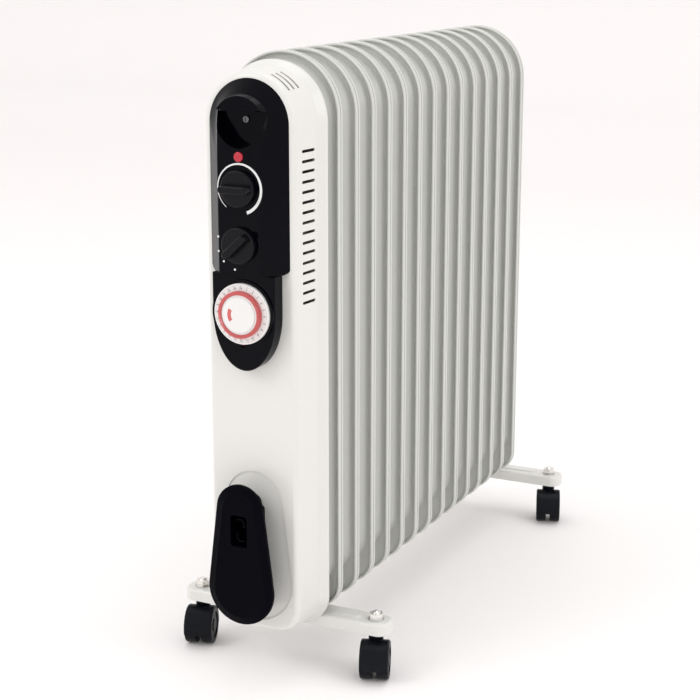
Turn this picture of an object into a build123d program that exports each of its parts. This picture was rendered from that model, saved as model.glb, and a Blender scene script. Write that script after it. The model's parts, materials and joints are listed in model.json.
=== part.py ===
from build123d import *
import math
import os

# Oil filled radiator heater: fourteen pressed steel fins on two oil headers, a deep drawn
# control housing in front of them, two pressed feet and four twin wheel swivel casters.
# Millimetres. +Z is up, the floor is Z = 0, the control housing faces -Y, the fins stack
# towards +Y, and the origin is on the floor under the middle of the whole heater.

# ---- driving dimensions: fins and headers ------------------------------------------------
fin_count = 14
fin_pitch = 40.0
fin_width = 128.0
fin_bottom_z = 64.5
fin_arch_z = 591.0
fin_corner = 28.0
first_fin_y = -223.75
rim_width = 10.0
rim_thick = 3.0
web_thick = 1.2
channel_rise = 9.0
channel_half_width = 56.5
channel_low_z = 90.0
channel_corner = 28.0
spine_low_z = 190.0
spine_high_z = 531.0
channel_taper = 42.0
sheet = 0.7
spine_half_width = 17.0
lower_header_z = 116.0
upper_header_z = 606.0
header_r = 18.0
header_bore_r = 15.0
cap_thick = 2.0

# ---- driving dimensions: control housing -------------------------------------------------
arch_z = 588.0
lip_depth = 20.2
flange_start = 24.0
flange_end = 32.0
housing_depth = 73.5
lip_half_width = 59.5
body_half_width = 54.0
front_half_width = 50.5
lip_bottom_z = 51.0
lip_corner = 34.0
housing_sheet = 1.2
housing_edge_r = 6.0
slot_count = 16
slot_top_z = 562.0
slot_pitch = 10.1
slot_length = 23.5
slot_height = 3.0
slot_depth = 48.6
arch_slot_depths = (45.0, 53.5, 62.0)
arch_slot_angles = (40.0, 68.0)

# ---- driving dimensions: control panels --------------------------------------------------
panel_half_width = 44.5
panel_rise = 21.0
panel_face_half_width = 24.0
panel_bottom_z = 441.0
panel_corner = 9.0
hood_half_width = 34.0
hood_draft = 14.0
seam_gap = 0.4
panel_wall = 2.5
pocket_half_width = 28.0
pocket_drop = 36.0
pocket_top_z = 602.0
pocket_depth = 17.0
timer_half_width = 35.5
timer_rise = 16.5
timer_bottom_z = 342.0
timer_curve_z = 400.0
timer_z = 401.5
lamp_z = 558.0
lamp_r = 5.0
thermostat_z = 527.0
selector_z = 471.0
knob_r = 18.5
knob_rise = 15.0
shaft_r = 3.0
dial_r = 31.0
tab_count = 96
tab_ring_r = 22.0

# ---- driving dimensions: cord winder -----------------------------------------------------
cover_depth = 101.0
cover_thick = 3.0
cover_crown = 4.0
cover_top_z = 199.0
cover_top_r = 26.8
cover_low_z = 112.6
cover_low_r = 37.8
spool_inset = 19.0

# ---- driving dimensions: feet and casters ------------------------------------------------
foot_length = 248.0
foot_width = 31.0
foot_top_z = 62.0
foot_depth = 13.0
foot_sheet = 2.0
front_foot_offset = -4.0
rear_foot_offset = 22.0
clamp_r = 2.5
clamp_reach = 13.0
caster_x = 107.0
wheel_r = 20.0
wheel_width = 13.0
wheel_gap = 5.0
caster_trail = 11.0
cap_gap = 0.6
cap_sheet = 1.4
axle_r = 2.5
stud_r = 4.0
running_gap = 0.05
caster_turn = {"front_right": 20.0, "front_left": 18.0, "rear_right": 20.0, "rear_left": -20.0}

# ---- worked out from them ----------------------------------------------------------------
fin_half = fin_width / 2
last_fin_y = first_fin_y + (fin_count - 1) * fin_pitch
fin_face = web_thick / 2 + channel_rise
housing_front_y = first_fin_y - housing_depth
panel_face_y = housing_front_y - panel_rise
timer_face_y = housing_front_y - timer_rise
back_plate_thick = 1.5
collar_face_y = first_fin_y - fin_pitch / 2
lip_y = first_fin_y - lip_depth
knob_seat_y = panel_face_y - 0.5
front_foot_y = first_fin_y + front_foot_offset
rear_foot_y = last_fin_y + rear_foot_offset


def facing_front(y):
    """A sketch plane at this Y that looks towards the front: its axes are X and Z."""
    return Plane.XZ.offset(-y)


def save(piece, name):
    """Label a finished piece and write its STEP file."""
    piece.part.label = name
    export_step(piece.part, f"parts/{name}.step")


def arch_outline(half_width, top_z, bottom_z, corner):
    """Draw a door shape in the current sketch: round top, rounded bottom corners."""
    straight = top_z - bottom_z
    with Locations((0, top_z)):
        Circle(half_width)
    with Locations((0, top_z - straight / 2)):
        RectangleRounded(2 * half_width, straight, corner - 0.001)
    with Locations((0, top_z - corner)):
        Rectangle(2 * half_width, 2 * corner)


def teardrop_outline(top_r, top_z, low_r, low_z):
    """Draw the hull of a small circle over a large one in the current sketch."""
    lean = math.asin((low_r - top_r) / (top_z - low_z))
    side_x = math.cos(lean)
    side_z = math.sin(lean)
    with BuildLine() as outline:
        Line((top_r * side_x, top_z + top_r * side_z), (low_r * side_x, low_z + low_r * side_z))
        ThreePointArc(
            (low_r * side_x, low_z + low_r * side_z),
            (0, low_z - low_r),
            (-low_r * side_x, low_z + low_r * side_z),
        )
        Line((-low_r * side_x, low_z + low_r * side_z), (-top_r * side_x, top_z + top_r * side_z))
        ThreePointArc(
            (-top_r * side_x, top_z + top_r * side_z),
            (0, top_z + top_r),
            (top_r * side_x, top_z + top_r * side_z),
        )
    make_face(outline.edges())


def stadium(half_width, low_z, high_z, mode=Mode.ADD):
    """Draw an upright stadium in the current sketch between two end centres."""
    with Locations((0, (low_z + high_z) / 2)):
        SlotOverall(high_z - low_z + 2 * half_width, 2 * half_width, rotation=90, mode=mode)


# ---- fins --------------------------------------------------------------------------------
# One pressing is two sheets seamed together: a flat web, a folded rim with a groove between
# its two beads, and a raised oil channel on each face around a flat pressed spine.
rim_mid = rim_thick / 2
path_half = fin_half - rim_mid
path_low = fin_bottom_z + rim_mid
path_corner = fin_corner - rim_mid
corner_mid = path_corner * (1 - math.sqrt(0.5))

with BuildPart() as fin_rim:
    with BuildLine(Plane.XZ) as rim_path:
        Line((0, path_low), (path_half - path_corner, path_low))
        ThreePointArc(
            (path_half - path_corner, path_low),
            (path_half - corner_mid, path_low + corner_mid),
            (path_half, path_low + path_corner),
        )
        Line((path_half, path_low + path_corner), (path_half, fin_arch_z))
        ThreePointArc((path_half, fin_arch_z), (0, fin_arch_z + path_half), (-path_half, fin_arch_z))
        Line((-path_half, fin_arch_z), (-path_half, path_low + path_corner))
        ThreePointArc(
            (-path_half, path_low + path_corner),
            (-path_half + corner_mid, path_low + corner_mid),
            (-path_half + path_corner, path_low),
        )
        Line((-path_half + path_corner, path_low), (0, path_low))
    with BuildSketch(Plane((0, 0, path_low), x_dir=(0, 1, 0), z_dir=(1, 0, 0))):
        bead = rim_width / 2 + 0.4
        with Locations((-(rim_width - bead) / 2, 0), ((rim_width - bead) / 2, 0)):
            SlotOverall(bead, rim_thick)
    sweep()

with BuildPart() as oil_cavity:
    with BuildSketch(facing_front(0)):
        arch_outline(
            channel_half_width - sheet, fin_arch_z, channel_low_z + sheet, channel_corner - sheet
        )
        stadium(spine_half_width + sheet, spine_low_z, spine_high_z, mode=Mode.SUBTRACT)
    extrude(amount=fin_face - sheet, taper=channel_taper)
    mirror(about=Plane.XZ)

with BuildPart() as fin_pressing:
    add(fin_rim.part)
    with BuildSketch(facing_front(0)):
        arch_outline(path_half, fin_arch_z, path_low, path_corner)
    extrude(amount=web_thick / 2, both=True)
    with BuildSketch(facing_front(-web_thick / 2)) as channel:
        arch_outline(channel_half_width, fin_arch_z, channel_low_z, channel_corner)
        stadium(spine_half_width, spine_low_z, spine_high_z, mode=Mode.SUBTRACT)
    extrude(amount=channel_rise, taper=channel_taper)
    front_edges = fin_pressing.faces().sort_by(Axis.Y)[0].edges()
    fillet(front_edges, 4.0)
    mirror(about=Plane.XZ)
    add(oil_cavity.part, mode=Mode.SUBTRACT)
    with BuildSketch(facing_front(fin_face)):
        with Locations((0, lower_header_z), (0, upper_header_z)):
            Circle(header_r + running_gap)
    extrude(amount=2 * fin_face, mode=Mode.SUBTRACT)

os.makedirs("parts", exist_ok=True)
for index in range(fin_count):
    with BuildPart() as fin:
        with Locations((0, first_fin_y + index * fin_pitch, 0)):
            add(fin_pressing.part)
    save(fin, f"fin_{index + 1:02d}")

# ---- oil headers, one tube through the foot of every fin and one through the head --------
header_start_y = first_fin_y - fin_pitch / 2
header_end_y = last_fin_y + fin_pitch / 2

with BuildPart() as oil_headers:
    with BuildSketch(facing_front(header_end_y)):
        with Locations((0, lower_header_z), (0, upper_header_z)):
            Circle(header_r)
    extrude(amount=header_end_y - header_start_y)
    with BuildSketch(facing_front(header_end_y - cap_thick)):
        with Locations((0, lower_header_z)):
            Circle(header_bore_r)
    extrude(amount=header_end_y - cap_thick - header_start_y, mode=Mode.SUBTRACT)
    with BuildSketch(facing_front(header_end_y - cap_thick)):
        with Locations((0, upper_header_z)):
            Circle(header_bore_r)
    extrude(amount=header_end_y - header_start_y - 2 * cap_thick, mode=Mode.SUBTRACT)
save(oil_headers, "oil_headers")

# ---- heating element in the lower header -------------------------------------------------
rod_r = 4.0
rod_x = 7.0
rod_front_y = collar_face_y - 16
rod_end_y = last_fin_y - 40
hex_thick = 6.0

with BuildPart() as heating_element:
    with BuildLine(Plane.XY.offset(lower_header_z)):
        Line((-rod_x, rod_front_y), (-rod_x, rod_end_y))
        ThreePointArc((-rod_x, rod_end_y), (0, rod_end_y + rod_x), (rod_x, rod_end_y))
        Line((rod_x, rod_end_y), (rod_x, rod_front_y))
    with BuildSketch(Plane((-rod_x, rod_front_y, lower_header_z), z_dir=(0, 1, 0))):
        Circle(rod_r)
    sweep()
save(heating_element, "heating_element")

with BuildPart() as element_flange:
    with BuildSketch(facing_front(collar_face_y + 6)):
        with Locations((0, lower_header_z)):
            Circle(header_bore_r - 0.05)
    extrude(amount=6 + back_plate_thick)
    with BuildSketch(facing_front(collar_face_y - back_plate_thick)):
        with Locations((0, lower_header_z)):
            RegularPolygon(19, 6, major_radius=False)
    extrude(amount=hex_thick)
    chamfer(element_flange.faces().sort_by(Axis.Y)[0].edges(), 1.0)
    with BuildSketch(facing_front(collar_face_y + 6)):
        with Locations((-rod_x, lower_header_z), (rod_x, lower_header_z)):
            Circle(rod_r + 0.05)
    extrude(amount=40, mode=Mode.SUBTRACT)
save(element_flange, "element_flange")


# ---- control housing ---------------------------------------------------------------------
def housing_form(inset):
    """The closed housing shape with every face moved inwards by the inset."""
    flare = lip_half_width - body_half_width
    body_length = housing_depth - flange_end
    draft = math.degrees(math.atan((body_half_width - front_half_width) / body_length))
    with BuildPart() as form:
        with BuildSketch(facing_front(lip_y)):
            arch_outline(lip_half_width - inset, arch_z, lip_bottom_z + inset, lip_corner - inset)
        extrude(amount=flange_start - lip_depth)
        with BuildSketch(facing_front(first_fin_y - flange_start)):
            arch_outline(lip_half_width - inset, arch_z, lip_bottom_z + inset, lip_corner - inset)
        extrude(
            amount=flange_end - flange_start,
            taper=math.degrees(math.atan(flare / (flange_end - flange_start))),
        )
        with BuildSketch(facing_front(first_fin_y - flange_end)):
            arch_outline(
                body_half_width - inset, arch_z, lip_bottom_z + flare + inset, lip_corner - flare - inset
            )
        extrude(amount=body_length - inset, taper=draft)
        fillet(form.faces().sort_by(Axis.Y)[0].edges(), housing_edge_r - inset)
    return form.part


housing_outer = housing_form(0)
housing_inner = housing_form(housing_sheet)
recess_depth = 1.5
recess_margin = 6.0
slot_low_z = slot_top_z - (slot_count - 1) * slot_pitch

with BuildPart() as housing_cavity:
    add(housing_inner)
    with BuildSketch(facing_front(housing_front_y)):
        teardrop_outline(
            cover_top_r + recess_margin + housing_sheet,
            cover_top_z,
            cover_low_r + recess_margin + housing_sheet,
            cover_low_z,
        )
    extrude(amount=-recess_depth - housing_sheet, mode=Mode.SUBTRACT)

with BuildPart() as arch_slots:
    for depth in arch_slot_depths:
        with BuildSketch(facing_front(first_fin_y - depth + slot_height / 2)):
            with Locations((0, arch_z)):
                Circle(body_half_width + 4)
                Circle(body_half_width - 8, mode=Mode.SUBTRACT)
        extrude(amount=slot_height)
    low_angle, high_angle = [math.radians(angle) for angle in arch_slot_angles]
    reach = 2 * body_half_width
    low_corner = (reach * math.cos(low_angle), arch_z + reach * math.sin(low_angle))
    high_corner = (reach * math.cos(high_angle), arch_z + reach * math.sin(high_angle))
    with BuildSketch(facing_front(first_fin_y)):
        Polygon((0, arch_z), low_corner, high_corner, align=None)
        mirror(about=Plane.YZ)
    extrude(amount=housing_depth, mode=Mode.INTERSECT)

with BuildPart() as housing:
    add(housing_outer)
    with BuildSketch(facing_front(housing_front_y)):
        teardrop_outline(
            cover_top_r + recess_margin, cover_top_z, cover_low_r + recess_margin, cover_low_z
        )
    extrude(amount=-recess_depth, mode=Mode.SUBTRACT)
    add(housing_cavity.part, mode=Mode.SUBTRACT)
    # side louvres, straight through both side walls
    with BuildSketch(Plane.YZ.offset(-body_half_width - 4)):
        with Locations((first_fin_y - slot_depth, (slot_top_z + slot_low_z) / 2)):
            with GridLocations(slot_length, slot_pitch, 1, slot_count):
                SlotOverall(slot_length, slot_height)
    extrude(amount=2 * body_half_width + 8, mode=Mode.SUBTRACT)
    add(arch_slots.part, mode=Mode.SUBTRACT)
    # openings behind the two control panels
    with BuildSketch(facing_front(housing_front_y)):
        with Locations((0, (selector_z + lamp_z) / 2)):
            RectangleRounded(34, lamp_z - selector_z + 30, 4)
        with Locations((0, timer_z)):
            Circle(27)
        with Locations((0, 593)):
            Circle(1.8)
    extrude(amount=-housing_sheet, mode=Mode.SUBTRACT)
    # cord outlet
    with BuildSketch(facing_front(housing_front_y)):
        with Locations((0, cover_low_z - 30)):
            Circle(5.0)
    extrude(amount=-recess_depth - housing_sheet, mode=Mode.SUBTRACT)
save(housing, "housing")

with BuildPart() as back_plate:
    with BuildSketch(facing_front(collar_face_y)):
        arch_outline(
            lip_half_width - housing_sheet - 0.4,
            arch_z,
            lip_bottom_z + housing_sheet + 0.4,
            lip_corner - housing_sheet - 0.4,
        )
        with Locations((0, lower_header_z)):
            Circle(header_bore_r, mode=Mode.SUBTRACT)
    extrude(amount=back_plate_thick)
save(back_plate, "back_plate")

# ---- control panel with the grip pocket --------------------------------------------------
panel_taper = math.degrees(math.atan((panel_half_width - panel_face_half_width) / panel_rise))


def pocket_outline(grow):
    """Draw the grip pocket, a half ellipse hanging from a straight edge, grown all round."""
    with Locations((0, pocket_top_z)):
        Ellipse(pocket_half_width + grow, pocket_drop + grow)
    with Locations((0, pocket_top_z + grow + 50)):
        Rectangle(200, 100, mode=Mode.SUBTRACT)


with BuildPart() as panel_cavity:
    with BuildSketch(facing_front(housing_front_y)):
        arch_outline(panel_half_width - 1.2 * panel_wall, arch_z, panel_bottom_z - 80, 5)
    extrude(amount=panel_rise - panel_wall, taper=panel_taper)
    with BuildSketch(facing_front(housing_front_y)):
        with Locations((0, panel_bottom_z + panel_wall - 100)):
            Rectangle(200, 200)
    extrude(amount=panel_rise, mode=Mode.SUBTRACT)
    with BuildSketch(facing_front(housing_front_y)):
        pocket_outline(panel_wall)
    extrude(amount=panel_rise, mode=Mode.SUBTRACT)

with BuildPart() as control_panel:
    with BuildSketch(facing_front(housing_front_y)):
        arch_outline(panel_half_width, arch_z, panel_bottom_z - 80, 5)
    extrude(amount=panel_rise, taper=panel_taper)
    with BuildSketch(facing_front(housing_front_y)):
        arch_outline(panel_half_width + 1, arch_z, panel_bottom_z, panel_corner)
    extrude(amount=panel_rise, mode=Mode.INTERSECT)
    face_edges = control_panel.faces().sort_by(Axis.Y)[0].edges()
    fillet(face_edges.filter_by(Axis.X, reverse=True), 3.0)
    # the brow over the grip pocket
    with BuildSketch(facing_front(housing_front_y)):
        with Locations((0, arch_z)):
            Circle(hood_half_width)
        with Locations((0, pocket_top_z - 4 - 100)):
            Rectangle(200, 200, mode=Mode.SUBTRACT)
    extrude(amount=panel_rise, taper=hood_draft)
    add(panel_cavity.part, mode=Mode.SUBTRACT)
    with BuildSketch(facing_front(panel_face_y)):
        pocket_outline(0)
    extrude(amount=-pocket_depth, mode=Mode.SUBTRACT)
    with BuildSketch(facing_front(panel_face_y)):
        with Locations((0, 593)):
            Circle(1.8)
        with Locations((0, thermostat_z), (0, selector_z)):
            Circle(shaft_r + 0.5)
        with Locations((0, lamp_z)):
            Circle(lamp_r - 1.2)
    extrude(amount=-panel_rise, mode=Mode.SUBTRACT)
save(control_panel, "control_panel")

with BuildPart() as pocket_screw:
    with BuildSketch(facing_front(panel_face_y + pocket_depth)):
        with Locations((0, 593)):
            Circle(3.6)
    extrude(amount=2.0)
    fillet(pocket_screw.faces().sort_by(Axis.Y)[0].edges(), 0.8)
    with BuildSketch(facing_front(panel_face_y + pocket_depth)):
        with Locations((0, 593)):
            Circle(1.7)
    extrude(amount=-10)
    with BuildSketch(facing_front(panel_face_y + pocket_depth - 2.0)):
        with Locations((0, 593)):
            Rectangle(4.4, 0.9)
            Rectangle(0.9, 4.4)
    extrude(amount=-1.2, mode=Mode.SUBTRACT)
save(pocket_screw, "pocket_screw")

# ---- lamp, thermostat and selector switch ------------------------------------------------
body_seat_y = panel_face_y + panel_wall
control_body = 26.0
control_body_depth = 22.0

with BuildPart() as lamp_lens:
    with BuildSketch(facing_front(panel_face_y)):
        with Locations((0, lamp_z)):
            Circle(lamp_r)
    extrude(amount=2.0)
    fillet(lamp_lens.faces().sort_by(Axis.Y)[0].edges(), 1.4)
    with BuildSketch(facing_front(panel_face_y)):
        with Locations((0, lamp_z)):
            Circle(lamp_r - 1.3)
    extrude(amount=-panel_wall)
save(lamp_lens, "lamp_lens")

with BuildPart() as lamp_holder:
    with BuildSketch(facing_front(body_seat_y)):
        with Locations((0, lamp_z)):
            Circle(lamp_r - 1.0)
    extrude(amount=-16)
save(lamp_holder, "lamp_holder")


def control_block(z):
    """The switch body behind the panel at this height, with a bore for the knob shaft."""
    with BuildPart() as block:
        with BuildSketch(facing_front(body_seat_y)):
            with Locations((0, z)):
                RectangleRounded(control_body, control_body, 2)
        extrude(amount=-control_body_depth)
        with BuildSketch(facing_front(body_seat_y)):
            with Locations((0, z)):
                Circle(shaft_r + running_gap)
        extrude(amount=-control_body_depth + 4, mode=Mode.SUBTRACT)
        with BuildSketch(facing_front(body_seat_y + control_body_depth)):
            with GridLocations(12, 12, 2, 2):
                with Locations((0, z)):
                    Rectangle(4.8, 0.8)
        extrude(amount=-7)
    return block


def control_knob(z, bar_turn):
    """A round knob with a grip bar across it and the shaft that runs in the switch body."""
    with BuildPart() as knob:
        with BuildSketch(facing_front(knob_seat_y)):
            with Locations((0, z)):
                Circle(knob_r)
        extrude(amount=5.5, taper=4)
        fillet(knob.faces().sort_by(Axis.Y)[0].edges(), 1.5)
        with BuildSketch(facing_front(knob_seat_y - 4)):
            with Locations(Location((0, z), bar_turn)):
                SlotOverall(2 * knob_r - 3, 9.5)
        extrude(amount=knob_rise - 4, taper=5)
        fillet(knob.faces().sort_by(Axis.Y)[0].edges(), 1.6)
        with BuildSketch(facing_front(knob_seat_y)):
            with Locations((0, z)):
                Circle(shaft_r)
        extrude(amount=-panel_wall - 12)
    return knob


save(control_block(thermostat_z), "thermostat_body")
save(control_block(selector_z), "selector_switch")
save(control_knob(thermostat_z, 0), "thermostat_knob")
save(control_knob(selector_z, 43), "selector_knob")


# ---- timer panel and timer ---------------------------------------------------------------
def timer_outline(half_width, bottom_z):
    """Draw the timer panel: straight sides under the seam and an elliptic bottom."""
    top_z = panel_bottom_z - seam_gap
    with Locations((0, timer_curve_z)):
        Ellipse(half_width, timer_curve_z - bottom_z)
    with Locations((0, timer_curve_z + 100)):
        Rectangle(200, 200, mode=Mode.SUBTRACT)
    with Locations((0, (timer_curve_z + top_z) / 2)):
        Rectangle(2 * half_width, top_z - timer_curve_z)


with BuildPart() as timer_panel:
    with BuildSketch(facing_front(housing_front_y)):
        timer_outline(timer_half_width, timer_bottom_z)
    extrude(amount=timer_rise)
    face_edges = timer_panel.faces().sort_by(Axis.Y)[0].edges()
    fillet(face_edges.filter_by(Axis.X, reverse=True), 2.0)
    with BuildSketch(facing_front(housing_front_y)):
        with Locations((0, timer_z)):
            Circle(timer_half_width - panel_wall)
    extrude(amount=timer_rise - panel_wall, mode=Mode.SUBTRACT)
    with BuildSketch(facing_front(timer_face_y)):
        with Locations((0, timer_z)):
            Circle(dial_r + 3.6)
            Circle(dial_r + 1.2, mode=Mode.SUBTRACT)
    extrude(amount=1.6)
    with BuildSketch(facing_front(timer_face_y)):
        with Locations((0, timer_z)):
            Circle(shaft_r + 0.5)
    extrude(amount=-panel_wall, mode=Mode.SUBTRACT)
save(timer_panel, "timer_panel")

timer_seat_y = timer_face_y + panel_wall
dial_seat_y = timer_face_y - 0.5

with BuildPart() as timer_body:
    with BuildSketch(facing_front(timer_seat_y)):
        with Locations((0, timer_z)):
            Circle(25)
    extrude(amount=-24)
    chamfer(timer_body.faces().sort_by(Axis.Y)[-1].edges(), 1.5)
    with BuildSketch(facing_front(timer_seat_y)):
        with Locations((0, timer_z)):
            Circle(shaft_r + running_gap)
    extrude(amount=-18, mode=Mode.SUBTRACT)
save(timer_body, "timer_body")

with BuildPart() as timer_dial:
    with BuildSketch(facing_front(dial_seat_y)):
        with Locations((0, timer_z)):
            Circle(dial_r)
    extrude(amount=4.0)
    fillet(timer_dial.faces().sort_by(Axis.Y)[0].edges(), 1.2)
    with BuildSketch(facing_front(dial_seat_y - 4.0)):
        with Locations((0, timer_z)):
            Circle(tab_ring_r - 2.0)
    extrude(amount=4.0)
    with BuildSketch(facing_front(dial_seat_y)):
        with Locations((0, timer_z)):
            Circle(shaft_r)
    extrude(amount=-panel_wall - 14)
save(timer_dial, "timer_dial")

with BuildPart() as timer_tabs:
    with BuildSketch(facing_front(dial_seat_y - 4.0)):
        with Locations((0, timer_z)):
            with PolarLocations(tab_ring_r, tab_count):
                Rectangle(3.6, 1.1)
    extrude(amount=4.8)
save(timer_tabs, "timer_tabs")

with BuildPart() as timer_centre:
    with BuildSketch(facing_front(dial_seat_y - 8.0)):
        with Locations((0, timer_z)):
            Circle(tab_ring_r - 4.0)
    extrude(amount=1.6)
    fillet(timer_centre.faces().sort_by(Axis.Y)[0].edges(), 0.8)
save(timer_centre, "timer_centre")

# ---- small parts inside the housing ------------------------------------------------------
plate_front_y = collar_face_y - back_plate_thick

with BuildPart() as thermal_cutout:
    with BuildSketch(facing_front(plate_front_y)):
        with Locations((0, 300)):
            RectangleRounded(26, 12, 3)
    extrude(amount=2)
    with BuildSketch(facing_front(plate_front_y - 2)):
        with Locations((0, 300)):
            Circle(8)
    extrude(amount=8)
save(thermal_cutout, "thermal_cutout")

with BuildPart() as terminal_block:
    with BuildSketch(facing_front(plate_front_y)):
        with Locations((0, 200)):
            Rectangle(36, 16)
    extrude(amount=14)
    with BuildSketch(facing_front(plate_front_y - 14)):
        with Locations((0, 200)):
            with GridLocations(11, 1, 3, 1):
                Circle(3)
    extrude(amount=-6, mode=Mode.SUBTRACT)
save(terminal_block, "terminal_block")

recess_y = housing_front_y + recess_depth

with BuildPart() as cord_gland:
    with BuildSketch(facing_front(recess_y + 4)):
        with Locations((0, cover_low_z - 30)):
            Circle(4.9)
    extrude(amount=10)
    with BuildSketch(facing_front(recess_y)):
        with Locations((0, cover_low_z - 30)):
            Circle(6.5)
    extrude(amount=2)
    with BuildSketch(facing_front(recess_y + 4)):
        with Locations((0, cover_low_z - 30)):
            Circle(3.3)
    extrude(amount=10, mode=Mode.SUBTRACT)
save(cord_gland, "cord_gland")

# ---- cord winder: a core on the housing and a plate in front of it ----------------------
cover_back_y = first_fin_y - cover_depth
park_centre_z = 177.0
park_height = 33.0
park_width = 19.0

with BuildPart() as cord_core:
    with BuildSketch(facing_front(recess_y)):
        teardrop_outline(cover_top_r - spool_inset, cover_top_z, cover_low_r - spool_inset, cover_low_z)
        with Locations((0, park_centre_z)):
            RectangleRounded(park_width + 4, park_height + 4, 3)
    extrude(amount=recess_y - cover_back_y)
    with BuildSketch(facing_front(recess_y)):
        with Locations((0, cover_low_z)):
            Circle(cover_low_r - spool_inset - 2.5)
    extrude(amount=recess_y - cover_back_y - 2.5, mode=Mode.SUBTRACT)
    with BuildSketch(facing_front(cover_back_y)):
        with Locations((0, park_centre_z)):
            RectangleRounded(park_width, park_height, 3)
    extrude(amount=-22, mode=Mode.SUBTRACT)
    with BuildSketch(facing_front(cover_back_y + 22)):
        with Locations((-4, park_centre_z), (4, park_centre_z)):
            Rectangle(1.4, park_height)
    extrude(amount=9)
save(cord_core, "cord_core")

with BuildPart() as cord_cover:
    with BuildSketch(facing_front(cover_back_y)):
        teardrop_outline(cover_top_r, cover_top_z, cover_low_r, cover_low_z)
    extrude(amount=cover_thick)
    with BuildSketch(facing_front(cover_back_y - cover_thick)):
        teardrop_outline(cover_top_r, cover_top_z, cover_low_r, cover_low_z)
    extrude(amount=cover_crown - 1, taper=70)
    with BuildSketch(facing_front(cover_back_y)):
        with Locations((0, park_centre_z)):
            RectangleRounded(park_width, park_height, 3)
    extrude(amount=20, mode=Mode.SUBTRACT)
save(cord_cover, "cord_cover")

# ---- feet and the clamps that hold them --------------------------------------------------
foot_low_z = foot_top_z - foot_depth
clamp_x = header_r + clamp_r + 0.1
foot_spots = {
    "front_foot": (first_fin_y + front_foot_offset, first_fin_y - clamp_reach),
    "rear_foot": (last_fin_y + rear_foot_offset, last_fin_y + clamp_reach),
}

for name, (foot_y, clamp_y) in foot_spots.items():
    with BuildPart() as foot:
        with BuildSketch(Plane.XY.offset(foot_low_z)):
            with Locations((0, foot_y)):
                RectangleRounded(foot_length, foot_width, 12)
        extrude(amount=foot_depth)
        fillet(foot.faces().sort_by(Axis.Z)[-1].edges(), 3.0)
        with BuildSketch(Plane.XY.offset(foot_low_z)):
            with Locations((0, foot_y)):
                RectangleRounded(foot_length - 2 * foot_sheet, foot_width - 2 * foot_sheet, 10)
        extrude(amount=foot_depth - foot_sheet, mode=Mode.SUBTRACT)
        with BuildSketch(Plane.XY.offset(foot_top_z)):
            with Locations((0, foot_y)):
                SlotOverall(180, 12)
        extrude(amount=1.5, taper=30)
        with BuildSketch(Plane.XY.offset(foot_top_z - 0.5)):
            with Locations((0, clamp_y)):
                Rectangle(2 * header_r - 3, 4)
        extrude(amount=lower_header_z - foot_top_z)
        with BuildSketch(facing_front(clamp_y + 4)):
            with Locations((0, lower_header_z)):
                Circle(header_r)
        extrude(amount=8, mode=Mode.SUBTRACT)
        with BuildSketch(Plane.XY.offset(foot_low_z)):
            with Locations((-caster_x, foot_y), (caster_x, foot_y)):
                Circle(stud_r + 0.1)
            with Locations((-clamp_x, clamp_y), (clamp_x, clamp_y)):
                Circle(clamp_r + 0.1)
        extrude(amount=foot_depth + 2, mode=Mode.SUBTRACT)
    save(foot, name)

clamp_low_z = foot_top_z - 9
with BuildPart() as u_bolts:
    for foot_y, clamp_y in foot_spots.values():
        clamp_plane = facing_front(clamp_y)
        with BuildLine(clamp_plane):
            Line((-clamp_x, clamp_low_z), (-clamp_x, lower_header_z))
            ThreePointArc(
                (-clamp_x, lower_header_z), (0, lower_header_z + clamp_x), (clamp_x, lower_header_z)
            )
            Line((clamp_x, lower_header_z), (clamp_x, clamp_low_z))
        with BuildSketch(Plane((-clamp_x, clamp_y, clamp_low_z), z_dir=(0, 0, 1))):
            Circle(clamp_r)
        sweep()
save(u_bolts, "u_bolts")

with BuildPart() as foot_nuts:
    for foot_y, clamp_y in foot_spots.values():
        with BuildSketch(Plane.XY.offset(foot_top_z - foot_sheet - 4)):
            with Locations((-clamp_x, clamp_y), (clamp_x, clamp_y)):
                RegularPolygon(4.0, 6, major_radius=False)
                Circle(clamp_r, mode=Mode.SUBTRACT)
        extrude(amount=4)
save(foot_nuts, "foot_nuts")

# ---- caster studs with their washers and cap nuts ----------------------------------------
caster_spots = {
    "front_right": (caster_x, front_foot_y),
    "front_left": (-caster_x, front_foot_y),
    "rear_right": (caster_x, rear_foot_y),
    "rear_left": (-caster_x, rear_foot_y),
}
boss_top_z = 46.0
stud_low_z = 40.0
washer_thick = 1.2
nut_height = 6.0

with BuildPart() as caster_studs:
    for spot in caster_spots.values():
        with BuildSketch(Plane.XY.offset(stud_low_z)):
            with Locations(spot):
                Circle(stud_r)
        extrude(amount=foot_top_z + washer_thick + nut_height - stud_low_z)
        with BuildSketch(Plane.XY.offset(boss_top_z + 0.4)):
            with Locations(spot):
                Circle(7)
        extrude(amount=foot_top_z - foot_sheet - boss_top_z - 0.4)
save(caster_studs, "caster_studs")

with BuildPart() as washers:
    with BuildSketch(Plane.XY.offset(foot_top_z)):
        with Locations(*caster_spots.values()):
            Circle(8.5)
            Circle(stud_r, mode=Mode.SUBTRACT)
    extrude(amount=washer_thick)
save(washers, "washers")

with BuildPart() as acorn_nuts:
    nut_base_z = foot_top_z + washer_thick
    with BuildSketch(Plane.XY.offset(nut_base_z)):
        with Locations(*caster_spots.values()):
            RegularPolygon(6.5, 6, major_radius=False)
    extrude(amount=nut_height)
    for spot in caster_spots.values():
        with Locations((spot[0], spot[1], nut_base_z + nut_height)):
            Sphere(5.8, arc_size1=0)
    with BuildSketch(Plane.XY.offset(nut_base_z)):
        with Locations(*caster_spots.values()):
            Circle(stud_r)
    extrude(amount=nut_height, mode=Mode.SUBTRACT)
save(acorn_nuts, "acorn_nuts")

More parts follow.
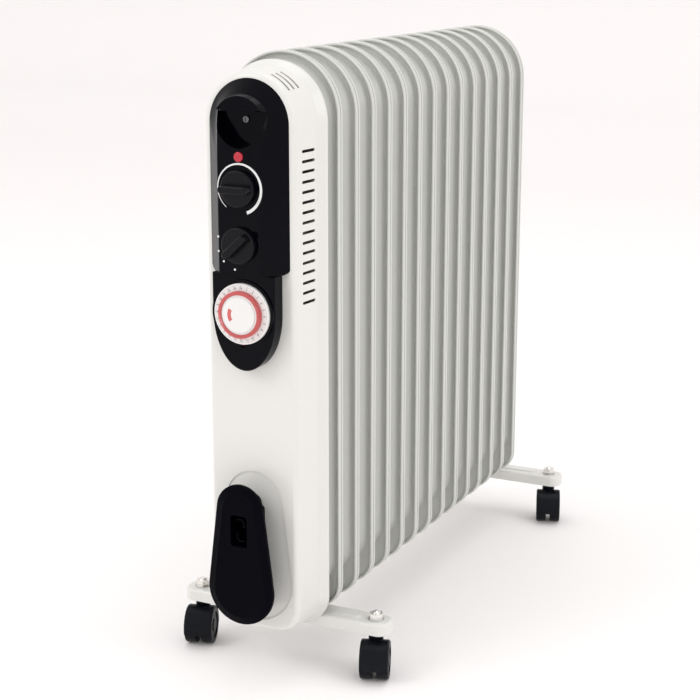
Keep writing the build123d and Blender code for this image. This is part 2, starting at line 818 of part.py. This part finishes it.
# ---- casters: a hood that swivels on the stud, an axle and two wheels --------------------
half_span = wheel_gap / 2 + wheel_width
web_half = wheel_gap / 2 - 0.5
cap_r = wheel_r + cap_gap + cap_sheet

with BuildPart() as caster_hood:
    with BuildSketch(Plane.YZ.offset(-half_span)):
        with Locations((-caster_trail, wheel_r)):
            Circle(cap_r)
    extrude(amount=2 * half_span)
    fillet(caster_hood.edges().filter_by(GeomType.CIRCLE), 2.0)
    with BuildSketch(Plane.XY.offset(wheel_r)):
        Circle(8)
    extrude(amount=boss_top_z - wheel_r)
    with BuildSketch(Plane.YZ.offset(-half_span)):
        with Locations((-caster_trail, wheel_r)):
            Circle(wheel_r + cap_gap)
    extrude(amount=2 * half_span, mode=Mode.SUBTRACT)
    with BuildSketch(Plane.YZ.offset(-web_half)):
        with Locations((-caster_trail, wheel_r)):
            Circle(wheel_r + cap_gap + 0.5)
    extrude(amount=2 * web_half)
    with BuildSketch(Plane.XY.offset(wheel_r - 5)):
        with Locations((0, -caster_trail)):
            Rectangle(3 * wheel_r, 3 * wheel_r)
    extrude(amount=-wheel_r, mode=Mode.SUBTRACT)
    with BuildSketch(Plane.XY.offset(stud_low_z - 0.4)):
        Circle(stud_r + running_gap)
    extrude(amount=10, mode=Mode.SUBTRACT)
    with BuildSketch(Plane.YZ.offset(-web_half)):
        with Locations((-caster_trail, wheel_r)):
            Circle(axle_r)
    extrude(amount=2 * web_half, mode=Mode.SUBTRACT)

with BuildPart() as caster_axle:
    with BuildSketch(Plane.YZ.offset(-half_span + 2)):
        with Locations((-caster_trail, wheel_r)):
            Circle(axle_r)
    extrude(amount=2 * half_span - 4)

with BuildPart() as caster_wheel:
    with BuildSketch(Plane.YZ.offset(wheel_gap / 2)):
        with Locations((-caster_trail, wheel_r)):
            Circle(wheel_r)
    extrude(amount=wheel_width)
    fillet(caster_wheel.edges().filter_by(GeomType.CIRCLE), 1.5)
    with BuildSketch(Plane.YZ.offset(wheel_gap / 2 + wheel_width)):
        with Locations((-caster_trail, wheel_r)):
            Circle(wheel_r - 5)
            Circle(7, mode=Mode.SUBTRACT)
    extrude(amount=-1.2, mode=Mode.SUBTRACT)
    with BuildSketch(Plane.YZ.offset(wheel_gap / 2)):
        with Locations((-caster_trail, wheel_r)):
            Circle(axle_r + running_gap)
    extrude(amount=wheel_width - 1.7, mode=Mode.SUBTRACT)

caster_pieces = {
    "hood": caster_hood.part,
    "axle": caster_axle.part,
    "wheel_a": caster_wheel.part,
    "wheel_b": caster_wheel.part.mirror(Plane.YZ),
}
for corner, (stud_x, stud_y) in caster_spots.items():
    for kind, shape in caster_pieces.items():
        with BuildPart() as piece:
            with Locations(Location((stud_x, stud_y, 0), (0, 0, caster_turn[corner]))):
                add(shape)
        save(piece, f"{corner}_{kind}")
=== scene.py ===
import json
import math

import bmesh
import bpy
from mathutils import Matrix, Vector


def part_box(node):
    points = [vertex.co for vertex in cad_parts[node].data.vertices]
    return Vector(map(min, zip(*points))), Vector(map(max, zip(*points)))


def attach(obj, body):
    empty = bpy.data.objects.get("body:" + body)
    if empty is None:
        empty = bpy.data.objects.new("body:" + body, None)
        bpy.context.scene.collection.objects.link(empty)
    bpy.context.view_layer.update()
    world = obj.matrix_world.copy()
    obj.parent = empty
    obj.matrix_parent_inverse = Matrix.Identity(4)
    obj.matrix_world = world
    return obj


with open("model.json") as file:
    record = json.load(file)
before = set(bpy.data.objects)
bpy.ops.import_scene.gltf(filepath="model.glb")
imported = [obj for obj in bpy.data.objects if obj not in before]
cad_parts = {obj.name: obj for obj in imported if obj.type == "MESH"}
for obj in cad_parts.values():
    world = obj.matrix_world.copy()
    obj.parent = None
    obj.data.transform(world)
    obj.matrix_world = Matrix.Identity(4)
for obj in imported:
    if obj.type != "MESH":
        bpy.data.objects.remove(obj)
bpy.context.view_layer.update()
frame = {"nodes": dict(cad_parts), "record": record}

NODES = frame["nodes"]
FIN_COUNT = 14


def centre_of(node):
    """The middle of a CAD node's box, as X, Y and Z."""
    low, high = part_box(node)
    return [(a + b) / 2 for a, b in zip(low, high)]


# ---- materials ---------------------------------------------------------------------------
CLOUD_SCALE = 9.0  # slow variation of colour and roughness
CLOUD_DETAIL = 4.0
GRAIN_SCALE = 1200.0  # fine relief, about a millimetre across
GRAIN_DETAIL = 3.0
GRAIN_DEPTH = 0.0004
TINT_LOW, TINT_HIGH = 0.3, 0.7
COAT_ROUGH = 0.06


def material(name, colour, rough, metal=0.0, coat=0.0, bump=0.05, shift=0.06, spread=0.12, specular=0.5):
    """A procedural material: colour and roughness vary a little, and fine grain bumps the surface.

    shift is how far the colour varies, and spread how far the roughness does, as parts of the whole.
    """
    mat = bpy.data.materials.new(name)
    mat.use_nodes = True
    tree = mat.node_tree
    shader = tree.nodes["Principled BSDF"]
    place = tree.nodes.new("ShaderNodeTexCoord")
    cloud = tree.nodes.new("ShaderNodeTexNoise")
    cloud.inputs["Scale"].default_value = CLOUD_SCALE
    cloud.inputs["Detail"].default_value = CLOUD_DETAIL
    grain = tree.nodes.new("ShaderNodeTexNoise")
    grain.inputs["Scale"].default_value = GRAIN_SCALE
    grain.inputs["Detail"].default_value = GRAIN_DETAIL
    tint = tree.nodes.new("ShaderNodeValToRGB")
    darker, lighter = tint.color_ramp.elements
    darker.position = TINT_LOW
    lighter.position = TINT_HIGH
    darker.color = [max(0.0, c * (1 - shift)) for c in colour] + [1]
    lighter.color = [min(1.0, c * (1 + shift)) for c in colour] + [1]
    level = tree.nodes.new("ShaderNodeMapRange")
    level.inputs["To Min"].default_value = rough * (1 - spread)
    level.inputs["To Max"].default_value = min(1.0, rough * (1 + spread))
    relief = tree.nodes.new("ShaderNodeBump")
    relief.inputs["Strength"].default_value = bump
    relief.inputs["Distance"].default_value = GRAIN_DEPTH
    link = tree.links.new
    link(place.outputs["Object"], cloud.inputs["Vector"])
    link(place.outputs["Object"], grain.inputs["Vector"])
    link(cloud.outputs["Fac"], tint.inputs["Fac"])
    link(cloud.outputs["Fac"], level.inputs["Value"])
    link(grain.outputs["Fac"], relief.inputs["Height"])
    link(tint.outputs["Color"], shader.inputs["Base Color"])
    link(level.outputs["Result"], shader.inputs["Roughness"])
    link(relief.outputs["Normal"], shader.inputs["Normal"])
    shader.inputs["Metallic"].default_value = metal
    shader.inputs["Coat Weight"].default_value = coat
    shader.inputs["Coat Roughness"].default_value = COAT_ROUGH
    shader.inputs["Specular IOR Level"].default_value = specular
    return mat


# the fins wear the housing's white paint; this copy is made darker and greener as painted shade for the gaps
# between the fins
enamel = material("fin_enamel", (0.605, 0.615, 0.582), 0.28, coat=0.25, bump=0.04, shift=0.005, spread=0.04)
white = material("housing_enamel", (0.745, 0.74, 0.712), 0.28, coat=0.3, bump=0.03, shift=0.004, spread=0.04)
gloss = material("gloss_black", (0.0008, 0.001, 0.003), 0.10, specular=0.09, bump=0.01, shift=0.15)
satin = material("satin_black", (0.001, 0.001, 0.003), 0.36, specular=0.035, bump=0.10, shift=0.15)
knob = material("knob_black", (0.004, 0.004, 0.006), 0.24, specular=0.16, bump=0.08, shift=0.12)
caster = material("caster_plastic", (0.003, 0.004, 0.007), 0.32, specular=0.14, bump=0.08, shift=0.15)
nylon = material("wheel_plastic", (0.003, 0.004, 0.007), 0.38, specular=0.12, bump=0.12, shift=0.15)
dial = material("dial_white", (0.80, 0.79, 0.78), 0.35, bump=0.03, shift=0.02)
tab = material("tab_red", (0.62, 0.12, 0.12), 0.38, bump=0.05, shift=0.10)
lamp = material("lamp_red", (0.50, 0.01, 0.03), 0.2, coat=0.4, shift=0.1)
body = material("switch_white", (0.62, 0.60, 0.54), 0.55, bump=0.08, shift=0.05)
zinc = material("plated_steel", (0.58, 0.58, 0.56), 0.34, metal=1.0, bump=0.08, shift=0.06)
sheath = material("sheath_steel", (0.35, 0.33, 0.30), 0.45, metal=1.0, bump=0.1, shift=0.1)
nickel = material("nickel", (0.80, 0.78, 0.75), 0.14, metal=1.0, bump=0.03, shift=0.04)
brass = material("brass", (0.70, 0.52, 0.22), 0.35, metal=1.0, bump=0.06, shift=0.06)
ink = material("printed_white", (0.82, 0.82, 0.82), 0.5, bump=0.02, shift=0.02)
ink_grey = material("printed_grey", (0.06, 0.05, 0.05), 0.5, bump=0.02, shift=0.05)

SLOT_LOOK = {
    "fin_enamel": enamel,
    "housing_enamel": white,
    "foot_enamel": white,
    "gloss_black": gloss,
    "satin_black": satin,
    "knob_black": knob,
    "caster_plastic": caster,
    "wheel_plastic": nylon,
    "dial_white": dial,
    "tab_red": tab,
    "lamp_red": lamp,
    "switch_white": body,
    "plated_steel": zinc,
    "sheath_steel": sheath,
    "nickel": nickel,
    "brass": brass,
}
for entry in frame["record"]["subparts"]:
    piece = NODES[entry["node"]]
    piece.data.materials.clear()
    piece.data.materials.append(SLOT_LOOK[entry["material_slot"]])

# the screw in the pocket is darker than the other plated parts
NODES["pocket_screw"].data.materials[0] = material("dark_screw", (0.16, 0.16, 0.17), 0.35, metal=1.0,
                                                   bump=0.05, shift=0.08)


# ---- mesh helpers ------------------------------------------------------------------------
def place_piece(name, mesh, mat, body_name):
    """Show a finished mesh as a piece that moves with a CAD body."""
    obj = bpy.data.objects.new(name, mesh)
    bpy.context.scene.collection.objects.link(obj)
    obj.data.materials.append(mat)
    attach(obj, body_name)


def mesh_piece(name, verts, faces, mat, body_name):
    """A piece from plain lists of points and faces."""
    mesh = bpy.data.meshes.new(name)
    mesh.from_pydata(verts, [], faces)
    mesh.update()
    place_piece(name, mesh, mat, body_name)


def bmesh_piece(name, bm, mat, body_name):
    """A piece from a bmesh, which is used up."""
    mesh = bpy.data.meshes.new(name)
    bm.to_mesh(mesh)
    bm.free()
    place_piece(name, mesh, mat, body_name)


def band(name, centre, y, start, end, inner, outer, mat, body_name, thick=0.00015, steps=96):
    """A thin curved band on a plane facing the front, from start to end degrees.

    inner and outer give a radius at t from 0 to 1 along the band.
    """
    verts = []
    faces = []
    for i in range(steps + 1):
        t = i / steps
        angle = math.radians(start + (end - start) * t)
        for radius in (inner(t), outer(t)):
            for depth in (0.0, -thick):
                x = centre[0] + radius * math.cos(angle)
                z = centre[1] + radius * math.sin(angle)
                verts.append((x, y + depth, z))
    for i in range(steps):
        a = 4 * i
        b = a + 4
        faces.append((a + 1, b + 1, b + 3, a + 3))
        faces.append((a, a + 2, b + 2, b))
        faces.append((a, b, b + 1, a + 1))
        faces.append((a + 2, a + 3, b + 3, b + 2))
    faces.append((0, 1, 3, 2))
    last = 4 * steps
    faces.append((last, last + 2, last + 3, last + 1))
    mesh_piece(name, verts, faces, mat, body_name)


DOT_HOLE = 0.00002  # a dot is a band round a hole too small to see


def dot(name, x, z, y, radius, mat, body_name):
    """A round printed dot."""
    band(name, (x, z), y, 0, 360, lambda t: DOT_HOLE, lambda t: radius, mat, body_name, steps=32)


def blocks(name, places, mat, body_name):
    """One piece of many thin blocks. Each place is (centre, half width, half length, turn, half depth)."""
    bm = bmesh.new()
    for centre, half_w, half_l, turn, half_d in places:
        made = bmesh.ops.create_cube(bm, size=2.0)["verts"]
        bmesh.ops.scale(bm, vec=(half_w, half_d, half_l), verts=made)
        bmesh.ops.rotate(bm, cent=(0, 0, 0), matrix=Matrix.Rotation(turn, 3, "Y"), verts=made)
        bmesh.ops.translate(bm, vec=centre, verts=made)
    bmesh_piece(name, bm, mat, body_name)


def numbers(name, entries, size, half_depth, mat, body_name):
    """One piece of printed numbers. Each entry is (text, centre, turn)."""
    bm = bmesh.new()
    face_front = Matrix.Rotation(math.pi / 2, 4, "X")
    for text, centre, turn in entries:
        curve = bpy.data.curves.new(name, "FONT")
        curve.body = text
        curve.size = size
        curve.align_x = "CENTER"
        curve.align_y = "CENTER"
        curve.extrude = half_depth
        holder = bpy.data.objects.new(name, curve)
        bpy.context.scene.collection.objects.link(holder)
        mesh = bpy.data.meshes.new_from_object(holder)
        mesh.transform(Matrix.Translation(centre) @ Matrix.Rotation(turn, 4, "Y") @ face_front)
        bm.from_mesh(mesh)
        bpy.data.objects.remove(holder)
        bpy.data.curves.remove(curve)
        bpy.data.meshes.remove(mesh)
    bmesh_piece(name, bm, mat, body_name)


# ---- printed marks on the control panel -------------------------------------------------
PRINT_SINK = 0.00005  # how far a printed mark's back sits inside the surface it is on
SCALE_START, SCALE_END = 232, -70
SCALE_INNER, SCALE_INNER_LOSS = 0.0235, 0.0004
SCALE_OUTER, SCALE_OUTER_GAIN = 0.0241, 0.0022
SELECTOR_MARKS = (164, 197, 223, 256)
SELECTOR_MARK_RING = 0.0255
SELECTOR_MARK_RADIUS = 0.0011

mark_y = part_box("control_panel")[0].y + PRINT_SINK
thermostat_x, _, thermostat_z = centre_of("thermostat_knob")
selector_x, _, selector_z = centre_of("selector_knob")

# the thermostat's scale widens clockwise
band("thermostat_scale", (thermostat_x, thermostat_z), mark_y, SCALE_START, SCALE_END,
     lambda t: SCALE_INNER - SCALE_INNER_LOSS * t, lambda t: SCALE_OUTER + SCALE_OUTER_GAIN * t,
     ink, "heater")
for index, angle in enumerate(SELECTOR_MARKS):
    x = selector_x + SELECTOR_MARK_RING * math.cos(math.radians(angle))
    z = selector_z + SELECTOR_MARK_RING * math.sin(math.radians(angle))
    dot(f"selector_dot_{index}", x, z, mark_y, SELECTOR_MARK_RADIUS, ink, "heater")

# ---- the curved clips inside the plug park -------------------------------------------------
CLIP_INNER, CLIP_OUTER = 0.0044, 0.0060
CLIP_THICK = 0.004
CLIP_BEHIND_COVER = 0.002
CLIPS = ((-0.001, 0.1835, -40, 130), (0.001, 0.1705, 140, 310))  # centre in X and Z, start and end degrees

clip_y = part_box("cord_cover")[1].y + CLIP_BEHIND_COVER
for index, (x, z, start, end) in enumerate(CLIPS):
    band(f"plug_clip_{index}", (x, z), clip_y, start, end, lambda t: CLIP_INNER, lambda t: CLIP_OUTER, satin,
         "heater", thick=CLIP_THICK, steps=24)

# ---- marks on the timer dial -------------------------------------------------------------
MARK_HALF_DEPTH = 0.00008
TICK_COUNT = 96  # one for each quarter of an hour
TICKS_PER_HOUR = 4
TICK_OUTER_RADIUS = 0.0296
HOUR_TICK = (0.0009, 0.00016)  # half length, half width
QUARTER_TICK = (0.0005, 0.0001)
HOURS_ON_DIAL = 24
NUMBER_RADIUS = 0.0264
NUMBER_SIZE = 0.0031

timer_x, _, timer_z = centre_of("timer_centre")
timer = Vector((timer_x, 0.0, timer_z))
centre_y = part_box("timer_centre")[0].y
dial_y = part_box("timer_tabs")[1].y


def on_dial(radius, angle, y):
    """A point on the dial. The angle runs clockwise from the top, seen from the front."""
    return Vector((timer.x + radius * math.sin(angle), y, timer.z + radius * math.cos(angle)))


ticks = []
for step in range(TICK_COUNT):
    angle = math.tau * step / TICK_COUNT
    half_length, half_width = QUARTER_TICK if step % TICKS_PER_HOUR else HOUR_TICK
    tick_centre = on_dial(TICK_OUTER_RADIUS - half_length, angle, dial_y)
    ticks.append((tick_centre, half_width, half_length, angle, MARK_HALF_DEPTH))
blocks("dial_ticks", ticks, ink_grey, "timer")

hours = []
for hour in range(1, HOURS_ON_DIAL + 1):
    angle = math.tau * hour / HOURS_ON_DIAL
    hours.append((str(hour), on_dial(NUMBER_RADIUS, angle, dial_y), angle))
numbers("dial_numbers", hours, NUMBER_SIZE, MARK_HALF_DEPTH, ink_grey, "timer")

# the red arrow under the dial
ARROW_HALF = 0.0026
ARROW_HEIGHT = 0.0033
ARROW_THICK = 0.001
ARROW_TIP_DROP = 0.0312

arrow_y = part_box("timer_panel")[0].y
tip_z = timer.z - ARROW_TIP_DROP
base_z = tip_z - ARROW_HEIGHT
arrow_verts = []
for y in (arrow_y, arrow_y + ARROW_THICK):
    arrow_verts += [(-ARROW_HALF, y, base_z), (ARROW_HALF, y, base_z), (0, y, tip_z)]
mesh_piece("timer_arrow", arrow_verts, [(0, 1, 2), (5, 4, 3), (0, 3, 4, 1), (1, 4, 5, 2), (2, 5, 3, 0)],
           tab, "heater")

# a short printed arc on the timer's centre disc
ARC_START, ARC_END = 150, 215
ARC_INNER, ARC_OUTER = 0.0085, 0.0125

band("centre_arc", (timer.x, timer.z), centre_y + PRINT_SINK, ARC_START, ARC_END, lambda t: ARC_INNER,
     lambda t: ARC_OUTER, tab, "timer", steps=24)

# ---- painted shade: a dark strip in the groove between the two beads of every fin's rim ---
SEAM_DEPTH = 0.00006
SEAM_HALF = 0.00072
SEAM_THICK = 0.0003
FIN_CORNER = 0.028
CORNER_STEPS = 8
ARCH_STEPS = 48

# dark grey: painted shade for the groove where the two beads of the rim meet
seam_shade_look = material("painted_seam_shade", (0.27, 0.28, 0.255), 0.45, bump=0.04, shift=0.05)


def rim_line(half, low_z, arch_z, corner):
    """Points of the fin's outline in X and Z, anticlockwise from the bottom right corner."""
    points = []
    for i in range(CORNER_STEPS + 1):
        angle = -math.pi / 2 + math.pi / 2 * i / CORNER_STEPS
        points.append((half - corner + corner * math.cos(angle), low_z + corner + corner * math.sin(angle)))
    for i in range(ARCH_STEPS + 1):
        angle = math.pi * i / ARCH_STEPS
        points.append((half * math.cos(angle), arch_z + half * math.sin(angle)))
    for i in range(CORNER_STEPS + 1):
        angle = math.pi + math.pi / 2 * i / CORNER_STEPS
        points.append((-half + corner + corner * math.cos(angle), low_z + corner + corner * math.sin(angle)))
    return points


verts = []
faces = []
for index in range(1, FIN_COUNT + 1):
    fin = f"fin_{index:02d}"
    low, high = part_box(fin)
    fin_y = centre_of(fin)[1]
    first = len(verts)
    loops = []
    for depth in (SEAM_DEPTH, SEAM_DEPTH + SEAM_THICK):
        loops.append(rim_line(high.x - depth, low.z + depth, high.z - high.x, FIN_CORNER - depth))
    for outer, inner in zip(*loops):
        verts.append((outer[0], fin_y - SEAM_HALF, outer[1]))
        verts.append((outer[0], fin_y + SEAM_HALF, outer[1]))
        verts.append((inner[0], fin_y + SEAM_HALF, inner[1]))
        verts.append((inner[0], fin_y - SEAM_HALF, inner[1]))
    count = len(loops[0])
    for i in range(count):
        here = first + 4 * i
        there = first + 4 * ((i + 1) % count)
        for a, b in ((0, 1), (1, 2), (2, 3), (3, 0)):
            faces.append((here + a, here + b, there + b, there + a))
# one piece of dark strips, the painted shade along every fin's rim groove
mesh_piece("painted_seam_shade_strips", verts, faces, seam_shade_look, "heater")

# ---- spot welds down the flat spine of every fin ------------------------------------------
WELDS_PER_SIDE = 8
WELD_LOWEST_Z = 0.21
WELD_PITCH = 0.04
WELD_RADIUS = 0.0022
WELD_TIP_RADIUS = 0.00154
WELD_HEIGHT = 0.0006
SPINE_HALF_THICK = 0.0006

bm = bmesh.new()
for index in range(1, FIN_COUNT + 1):
    fin_y = centre_of(f"fin_{index:02d}")[1]
    for side in (-1, 1):
        outward = Matrix.Rotation(-side * math.pi / 2, 3, "X")
        for row in range(WELDS_PER_SIDE):
            made = bmesh.ops.create_cone(bm, cap_ends=True, segments=16, radius1=WELD_RADIUS,
                                         radius2=WELD_TIP_RADIUS, depth=WELD_HEIGHT)["verts"]
            weld_centre = (0, fin_y + side * SPINE_HALF_THICK, WELD_LOWEST_Z + WELD_PITCH * row)
            bmesh.ops.rotate(bm, cent=(0, 0, 0), matrix=outward, verts=made)
            bmesh.ops.translate(bm, vec=weld_centre, verts=made)
bmesh_piece("weld_spots", bm, enamel, "heater")

# ---- floor -------------------------------------------------------------------------------
FLOOR_HALF_WIDTH = 7.0
FLOOR_PROFILE = [(-6.0, 0.0), (3.5, 0.0), (4.2, 0.12), (4.7, 0.5), (5.0, 1.2), (5.0, 6.0)]  # Y and Z

floor_mat = material("floor", (0.985, 0.965, 0.965), 0.75, bump=0.02, shift=0.004)
bm = bmesh.new()
rows = []
for y, z in FLOOR_PROFILE:
    rows.append([bm.verts.new((x, y, z)) for x in (-FLOOR_HALF_WIDTH, FLOOR_HALF_WIDTH)])
for a, b in zip(rows, rows[1:]):
    bm.faces.new((a[0], a[1], b[1], b[0]))
floor_mesh = bpy.data.meshes.new("floor")
bm.to_mesh(floor_mesh)
bm.free()
for face in floor_mesh.polygons:
    face.use_smooth = True
floor = bpy.data.objects.new("floor", floor_mesh)
floor.data.materials.append(floor_mat)
bpy.context.scene.collection.objects.link(floor)

# ---- light -------------------------------------------------------------------------------
WORLD_COLOUR = (1.0, 0.985, 0.975, 1)
WORLD_STRENGTH = 0.955

bpy.context.scene.view_settings.view_transform = "Standard"
world = bpy.data.worlds.new("studio")
bpy.context.scene.world = world
world.use_nodes = True
background = world.node_tree.nodes["Background"]
background.inputs["Color"].default_value = WORLD_COLOUR
background.inputs["Strength"].default_value = WORLD_STRENGTH


def aim(obj, direction):
    """Turn a light or camera to look along a direction, with its top up."""
    obj.rotation_euler = direction.to_track_quat("-Z", "Y").to_euler()


def softbox(name, place, target, size, power):
    """A rectangular soft light at place, aimed at target."""
    data = bpy.data.lights.new(name, "AREA")
    data.shape = "RECTANGLE"
    data.size, data.size_y = size
    data.energy = power
    light = bpy.data.objects.new(name, data)
    light.location = place
    aim(light, Vector(target) - Vector(place))
    bpy.context.scene.collection.objects.link(light)


softbox("key", (-1.6, -2.2, 2.2), (0, -0.1, 0.35), (1.4, 1.4), 18.2)
softbox("side", (2.6, -0.6, 1.5), (0, 0.0, 0.3), (1.2, 1.8), 9.6)
softbox("top", (0.3, 0.4, 2.6), (0, 0.1, 0.3), (1.8, 1.8), 9.6)

# ---- camera ------------------------------------------------------------------------------
CAMERA_FROM_FIRST_FIN = (0.8031, -1.4868, 0.7670)
CAMERA_AZIMUTH = math.radians(26.12)
CAMERA_ELEVATION = math.radians(14.07)

camera_data = bpy.data.cameras.new("camera")
camera_data.lens = 85.2
camera_data.sensor_width = 36.0
camera_data.clip_end = 50
camera = bpy.data.objects.new("camera", camera_data)
camera_x, camera_behind_fin, camera_z = CAMERA_FROM_FIRST_FIN
camera.location = (camera_x, centre_of("fin_01")[1] + camera_behind_fin, camera_z)
aim(camera, Vector((
    -math.sin(CAMERA_AZIMUTH) * math.cos(CAMERA_ELEVATION),
    math.cos(CAMERA_AZIMUTH) * math.cos(CAMERA_ELEVATION),
    -math.sin(CAMERA_ELEVATION),
)))
bpy.context.scene.collection.objects.link(camera)
bpy.context.scene.camera = camera
